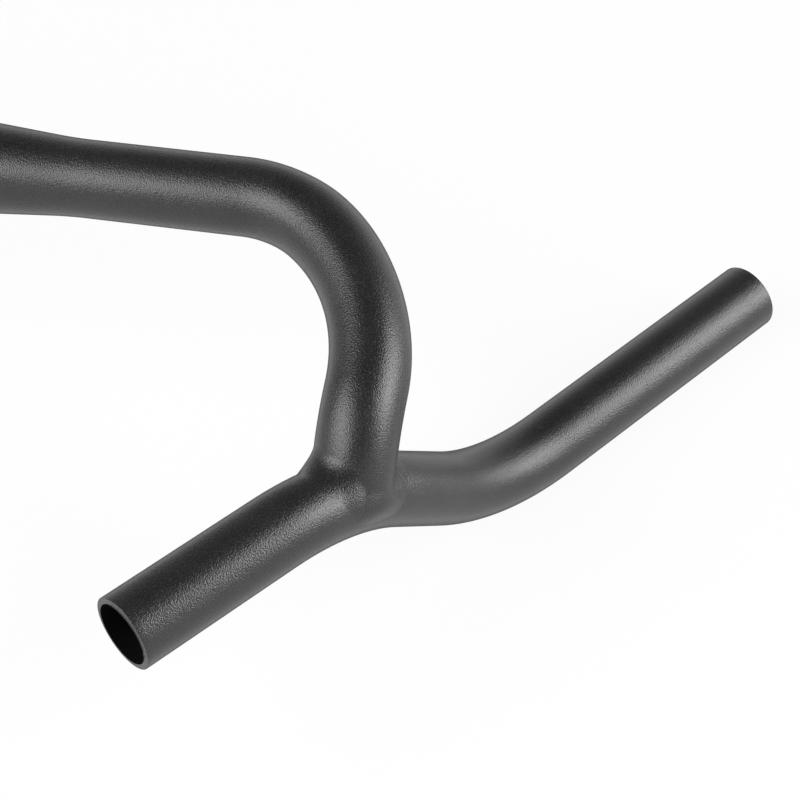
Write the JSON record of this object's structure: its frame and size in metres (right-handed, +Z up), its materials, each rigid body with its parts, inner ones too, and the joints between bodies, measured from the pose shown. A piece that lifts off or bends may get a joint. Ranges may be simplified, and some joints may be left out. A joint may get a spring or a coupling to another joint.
{
  "type": "handlebar",
  "caption": "Gravel drop handlebar: tapered clamp zone, main tube bent forward and down, and flared drop tubes with open forward stubs joined by fillet welds.",
  "frame": {"origin": "middle of the clamp zone, on the axis of the main tube", "axes": "+X along the clamp axis to the rider's right, +Y forward, +Z up with the rear grips level"},
  "size_m": [0.6394, 0.2185, 0.1051],
  "materials": {
    "tube_coat": "fine-textured matt black powder coat on aluminium tube",
    "weld_coat": "the same coat over a dressed weld"
  },
  "bodies": {
    "root": {"main_tube": "tube_coat", "left_drop_tube": "tube_coat", "right_drop_tube": "tube_coat", "left_weld": "weld_coat", "right_weld": "weld_coat"}
  },
  "joints": []
}
